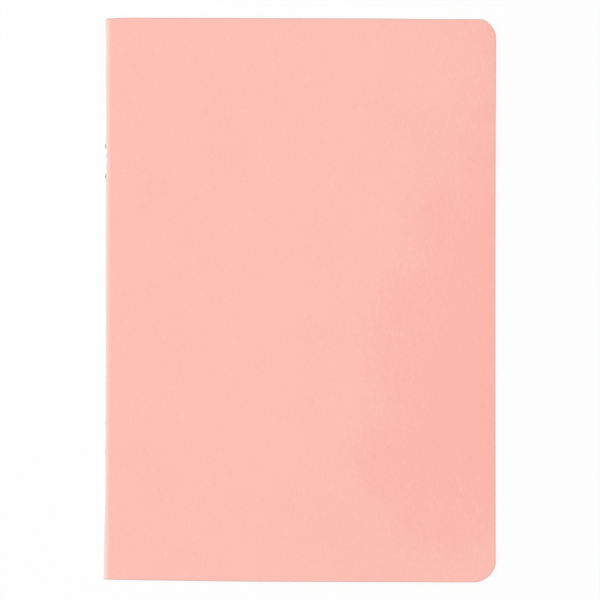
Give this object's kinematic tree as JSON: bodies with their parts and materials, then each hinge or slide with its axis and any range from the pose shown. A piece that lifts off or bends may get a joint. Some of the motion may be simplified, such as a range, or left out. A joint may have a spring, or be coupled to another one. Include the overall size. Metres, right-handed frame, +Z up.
{
  "type": "stapled exercise book",
  "caption": "Stapled exercise book with a folded card cover round nested paper sheets, rounded fore-edge corners and wire staples through the fold; it opens at its spine.",
  "frame": {"origin": "on the surface that the back cover rests on, at the middle of the book's overall width and height", "axes": "+X from the spine to the fore edge, +Y from the tail to the head, +Z up through the front cover"},
  "size_m": [0.1464, 0.21, 0.0047],
  "materials": {
    "cover_card": "matt dyed card",
    "paper": "uncoated writing paper",
    "staple_wire": "bright wire"
  },
  "bodies": {
    "back_cover": {"back_cover": "cover_card"},
    "front_cover": {"front_cover": "cover_card"},
    "binding": {"cover_spine": "cover_card", "sheet_01_fold": "paper", "sheet_02_fold": "paper", "sheet_03_fold": "paper", "sheet_04_fold": "paper", "sheet_05_fold": "paper", "sheet_06_fold": "paper", "sheet_07_fold": "paper", "sheet_08_fold": "paper", "sheet_09_fold": "paper", "sheet_10_fold": "paper", "sheet_11_fold": "paper", "sheet_12_fold": "paper", "sheet_13_fold": "paper", "sheet_14_fold": "paper", "sheet_15_fold": "paper", "sheet_16_fold": "paper", "staple_upper": "staple_wire", "staple_lower": "staple_wire"},
    "sheet_01_back_leaf": {"sheet_01_back_leaf": "paper"},
    "sheet_01_front_leaf": {"sheet_01_front_leaf": "paper"},
    "sheet_02_back_leaf": {"sheet_02_back_leaf": "paper"},
    "sheet_02_front_leaf": {"sheet_02_front_leaf": "paper"},
    "sheet_03_back_leaf": {"sheet_03_back_leaf": "paper"},
    "sheet_03_front_leaf": {"sheet_03_front_leaf": "paper"},
    "sheet_04_back_leaf": {"sheet_04_back_leaf": "paper"},
    "sheet_04_front_leaf": {"sheet_04_front_leaf": "paper"},
    "sheet_05_back_leaf": {"sheet_05_back_leaf": "paper"},
    "sheet_05_front_leaf": {"sheet_05_front_leaf": "paper"},
    "sheet_06_back_leaf": {"sheet_06_back_leaf": "paper"},
    "sheet_06_front_leaf": {"sheet_06_front_leaf": "paper"},
    "sheet_07_back_leaf": {"sheet_07_back_leaf": "paper"},
    "sheet_07_front_leaf": {"sheet_07_front_leaf": "paper"},
    "sheet_08_back_leaf": {"sheet_08_back_leaf": "paper"},
    "sheet_08_front_leaf": {"sheet_08_front_leaf": "paper"},
    "sheet_09_back_leaf": {"sheet_09_back_leaf": "paper"},
    "sheet_09_front_leaf": {"sheet_09_front_leaf": "paper"},
    "sheet_10_back_leaf": {"sheet_10_back_leaf": "paper"},
    "sheet_10_front_leaf": {"sheet_10_front_leaf": "paper"},
    "sheet_11_back_leaf": {"sheet_11_back_leaf": "paper"},
    "sheet_11_front_leaf": {"sheet_11_front_leaf": "paper"},
    "sheet_12_back_leaf": {"sheet_12_back_leaf": "paper"},
    "sheet_12_front_leaf": {"sheet_12_front_leaf": "paper"},
    "sheet_13_back_leaf": {"sheet_13_back_leaf": "paper"},
    "sheet_13_front_leaf": {"sheet_13_front_leaf": "paper"},
    "sheet_14_back_leaf": {"sheet_14_back_leaf": "paper"},
    "sheet_14_front_leaf": {"sheet_14_front_leaf": "paper"},
    "sheet_15_back_leaf": {"sheet_15_back_leaf": "paper"},
    "sheet_15_front_leaf": {"sheet_15_front_leaf": "paper"},
    "sheet_16_back_leaf": {"sheet_16_back_leaf": "paper"},
    "sheet_16_front_leaf": {"sheet_16_front_leaf": "paper"}
  },
  "joints": [
    {"name": "cover_open", "type": "hinge", "parent": "back_cover", "child": "front_cover", "pos_m": [-0.07047, 0, 0.00235], "axis": [0, -1, 0], "range_deg": [0, 178], "deforming": ["cover_spine", "sheet_01_fold", "sheet_02_fold", "sheet_03_fold", "sheet_04_fold", "sheet_05_fold", "sheet_06_fold", "sheet_07_fold", "sheet_08_fold", "sheet_09_fold", "sheet_10_fold", "sheet_11_fold", "sheet_12_fold", "sheet_13_fold", "sheet_14_fold", "sheet_15_fold", "sheet_16_fold"]},
    {"name": "binding_turn", "type": "hinge", "parent": "back_cover", "child": "binding", "pos_m": [-0.07047, 0, 0.00235], "axis": [0, -1, 0], "range_deg": [0, 89]},
    {"name": "sheet_01_back_leaf_lift", "type": "hinge", "parent": "back_cover", "child": "sheet_01_back_leaf", "pos_m": [-0.07047, 0, 0.00235], "axis": [0, -1, 0], "range_deg": [0, 1.07]},
    {"name": "sheet_01_front_leaf_lift", "type": "hinge", "parent": "front_cover", "child": "sheet_01_front_leaf", "pos_m": [-0.07047, 0, 0.00235], "axis": [0, 1, 0], "range_deg": [0, 1.07]},
    {"name": "sheet_02_back_leaf_lift", "type": "hinge", "parent": "back_cover", "child": "sheet_02_back_leaf", "pos_m": [-0.07047, 0, 0.00235], "axis": [0, -1, 0], "range_deg": [0, 1.31]},
    {"name": "sheet_02_front_leaf_lift", "type": "hinge", "parent": "front_cover", "child": "sheet_02_front_leaf", "pos_m": [-0.07047, 0, 0.00235], "axis": [0, 1, 0], "range_deg": [0, 1.31]},
    {"name": "sheet_03_back_leaf_lift", "type": "hinge", "parent": "back_cover", "child": "sheet_03_back_leaf", "pos_m": [-0.07047, 0, 0.00235], "axis": [0, -1, 0], "range_deg": [0, 1.8]},
    {"name": "sheet_03_front_leaf_lift", "type": "hinge", "parent": "front_cover", "child": "sheet_03_front_leaf", "pos_m": [-0.07047, 0, 0.00235], "axis": [0, 1, 0], "range_deg": [0, 1.8]},
    {"name": "sheet_04_back_leaf_lift", "type": "hinge", "parent": "back_cover", "child": "sheet_04_back_leaf", "pos_m": [-0.07047, 0, 0.00235], "axis": [0, -1, 0], "range_deg": [0, 2.48]},
    {"name": "sheet_04_front_leaf_lift", "type": "hinge", "parent": "front_cover", "child": "sheet_04_front_leaf", "pos_m": [-0.07047, 0, 0.00235], "axis": [0, 1, 0], "range_deg": [0, 2.48]},
    {"name": "sheet_05_back_leaf_lift", "type": "hinge", "parent": "back_cover", "child": "sheet_05_back_leaf", "pos_m": [-0.07047, 0, 0.00235], "axis": [0, -1, 0], "range_deg": [0, 3.3]},
    {"name": "sheet_05_front_leaf_lift", "type": "hinge", "parent": "front_cover", "child": "sheet_05_front_leaf", "pos_m": [-0.07047, 0, 0.00235], "axis": [0, 1, 0], "range_deg": [0, 3.3]},
    {"name": "sheet_06_back_leaf_lift", "type": "hinge", "parent": "back_cover", "child": "sheet_06_back_leaf", "pos_m": [-0.07047, 0, 0.00235], "axis": [0, -1, 0], "range_deg": [0, 4.26]},
    {"name": "sheet_06_front_leaf_lift", "type": "hinge", "parent": "front_cover", "child": "sheet_06_front_leaf", "pos_m": [-0.07047, 0, 0.00235], "axis": [0, 1, 0], "range_deg": [0, 4.26]},
    {"name": "sheet_07_back_leaf_lift", "type": "hinge", "parent": "back_cover", "child": "sheet_07_back_leaf", "pos_m": [-0.07047, 0, 0.00235], "axis": [0, -1, 0], "range_deg": [0, 5.34]},
    {"name": "sheet_07_front_leaf_lift", "type": "hinge", "parent": "front_cover", "child": "sheet_07_front_leaf", "pos_m": [-0.07047, 0, 0.00235], "axis": [0, 1, 0], "range_deg": [0, 5.34]},
    {"name": "sheet_08_back_leaf_lift", "type": "hinge", "parent": "back_cover", "child": "sheet_08_back_leaf", "pos_m": [-0.07047, 0, 0.00235], "axis": [0, -1, 0], "range_deg": [0, 6.54]},
    {"name": "sheet_08_front_leaf_lift", "type": "hinge", "parent": "front_cover", "child": "sheet_08_front_leaf", "pos_m": [-0.07047, 0, 0.00235], "axis": [0, 1, 0], "range_deg": [0, 6.54]},
    {"name": "sheet_09_back_leaf_lift", "type": "hinge", "parent": "back_cover", "child": "sheet_09_back_leaf", "pos_m": [-0.07047, 0, 0.00235], "axis": [0, -1, 0], "range_deg": [0, 7.84]},
    {"name": "sheet_09_front_leaf_lift", "type": "hinge", "parent": "front_cover", "child": "sheet_09_front_leaf", "pos_m": [-0.07047, 0, 0.00235], "axis": [0, 1, 0], "range_deg": [0, 7.84]},
    {"name": "sheet_10_back_leaf_lift", "type": "hinge", "parent": "back_cover", "child": "sheet_10_back_leaf", "pos_m": [-0.07047, 0, 0.00235], "axis": [0, -1, 0], "range_deg": [0, 9.24]},
    {"name": "sheet_10_front_leaf_lift", "type": "hinge", "parent": "front_cover", "child": "sheet_10_front_leaf", "pos_m": [-0.07047, 0, 0.00235], "axis": [0, 1, 0], "range_deg": [0, 9.24]},
    {"name": "sheet_11_back_leaf_lift", "type": "hinge", "parent": "back_cover", "child": "sheet_11_back_leaf", "pos_m": [-0.07047, 0, 0.00235], "axis": [0, -1, 0], "range_deg": [0, 10.74]},
    {"name": "sheet_11_front_leaf_lift", "type": "hinge", "parent": "front_cover", "child": "sheet_11_front_leaf", "pos_m": [-0.07047, 0, 0.00235], "axis": [0, 1, 0], "range_deg": [0, 10.74]},
    {"name": "sheet_12_back_leaf_lift", "type": "hinge", "parent": "back_cover", "child": "sheet_12_back_leaf", "pos_m": [-0.07047, 0, 0.00235], "axis": [0, -1, 0], "range_deg": [0, 12.34]},
    {"name": "sheet_12_front_leaf_lift", "type": "hinge", "parent": "front_cover", "child": "sheet_12_front_leaf", "pos_m": [-0.07047, 0, 0.00235], "axis": [0, 1, 0], "range_deg": [0, 12.34]},
    {"name": "sheet_13_back_leaf_lift", "type": "hinge", "parent": "back_cover", "child": "sheet_13_back_leaf", "pos_m": [-0.07047, 0, 0.00235], "axis": [0, -1, 0], "range_deg": [0, 14.02]},
    {"name": "sheet_13_front_leaf_lift", "type": "hinge", "parent": "front_cover", "child": "sheet_13_front_leaf", "pos_m": [-0.07047, 0, 0.00235], "axis": [0, 1, 0], "range_deg": [0, 14.02]},
    {"name": "sheet_14_back_leaf_lift", "type": "hinge", "parent": "back_cover", "child": "sheet_14_back_leaf", "pos_m": [-0.07047, 0, 0.00235], "axis": [0, -1, 0], "range_deg": [0, 15.79]},
    {"name": "sheet_14_front_leaf_lift", "type": "hinge", "parent": "front_cover", "child": "sheet_14_front_leaf", "pos_m": [-0.07047, 0, 0.00235], "axis": [0, 1, 0], "range_deg": [0, 15.79]},
    {"name": "sheet_15_back_leaf_lift", "type": "hinge", "parent": "back_cover", "child": "sheet_15_back_leaf", "pos_m": [-0.07047, 0, 0.00235], "axis": [0, -1, 0], "range_deg": [0, 17.65]},
    {"name": "sheet_15_front_leaf_lift", "type": "hinge", "parent": "front_cover", "child": "sheet_15_front_leaf", "pos_m": [-0.07047, 0, 0.00235], "axis": [0, 1, 0], "range_deg": [0, 17.65]},
    {"name": "sheet_16_back_leaf_lift", "type": "hinge", "parent": "back_cover", "child": "sheet_16_back_leaf", "pos_m": [-0.07047, 0, 0.00235], "axis": [0, -1, 0], "range_deg": [0, 19.58]},
    {"name": "sheet_16_front_leaf_lift", "type": "hinge", "parent": "front_cover", "child": "sheet_16_front_leaf", "pos_m": [-0.07047, 0, 0.00235], "axis": [0, 1, 0], "range_deg": [0, 19.58]}
  ],
  "couplings": [
    {"joint": "binding_turn", "follows": "cover_open", "ratio": 0.5},
    {"joint": "sheet_01_back_leaf_lift", "follows": "cover_open", "ratio": 0.006},
    {"joint": "sheet_01_front_leaf_lift", "follows": "cover_open", "ratio": 0.006},
    {"joint": "sheet_02_back_leaf_lift", "follows": "cover_open", "ratio": 0.00737},
    {"joint": "sheet_02_front_leaf_lift", "follows": "cover_open", "ratio": 0.00737},
    {"joint": "sheet_03_back_leaf_lift", "follows": "cover_open", "ratio": 0.01014},
    {"joint": "sheet_03_front_leaf_lift", "follows": "cover_open", "ratio": 0.01014},
    {"joint": "sheet_04_back_leaf_lift", "follows": "cover_open", "ratio": 0.01392},
    {"joint": "sheet_04_front_leaf_lift", "follows": "cover_open", "ratio": 0.01392},
    {"joint": "sheet_05_back_leaf_lift", "follows": "cover_open", "ratio": 0.01855},
    {"joint": "sheet_05_front_leaf_lift", "follows": "cover_open", "ratio": 0.01855},
    {"joint": "sheet_06_back_leaf_lift", "follows": "cover_open", "ratio": 0.02393},
    {"joint": "sheet_06_front_leaf_lift", "follows": "cover_open", "ratio": 0.02393},
    {"joint": "sheet_07_back_leaf_lift", "follows": "cover_open", "ratio": 0.03001},
    {"joint": "sheet_07_front_leaf_lift", "follows": "cover_open", "ratio": 0.03001},
    {"joint": "sheet_08_back_leaf_lift", "follows": "cover_open", "ratio": 0.03672},
    {"joint": "sheet_08_front_leaf_lift", "follows": "cover_open", "ratio": 0.03672},
    {"joint": "sheet_09_back_leaf_lift", "follows": "cover_open", "ratio": 0.04404},
    {"joint": "sheet_09_front_leaf_lift", "follows": "cover_open", "ratio": 0.04404},
    {"joint": "sheet_10_back_leaf_lift", "follows": "cover_open", "ratio": 0.05193},
    {"joint": "sheet_10_front_leaf_lift", "follows": "cover_open", "ratio": 0.05193},
    {"joint": "sheet_11_back_leaf_lift", "follows": "cover_open", "ratio": 0.06036},
    {"joint": "sheet_11_front_leaf_lift", "follows": "cover_open", "ratio": 0.06036},
    {"joint": "sheet_12_back_leaf_lift", "follows": "cover_open", "ratio": 0.06932},
    {"joint": "sheet_12_front_leaf_lift", "follows": "cover_open", "ratio": 0.06932},
    {"joint": "sheet_13_back_leaf_lift", "follows": "cover_open", "ratio": 0.07877},
    {"joint": "sheet_13_front_leaf_lift", "follows": "cover_open", "ratio": 0.07877},
    {"joint": "sheet_14_back_leaf_lift", "follows": "cover_open", "ratio": 0.08872},
    {"joint": "sheet_14_front_leaf_lift", "follows": "cover_open", "ratio": 0.08872},
    {"joint": "sheet_15_back_leaf_lift", "follows": "cover_open", "ratio": 0.09913},
    {"joint": "sheet_15_front_leaf_lift", "follows": "cover_open", "ratio": 0.09913},
    {"joint": "sheet_16_back_leaf_lift", "follows": "cover_open", "ratio": 0.11},
    {"joint": "sheet_16_front_leaf_lift", "follows": "cover_open", "ratio": 0.11}
  ]
}
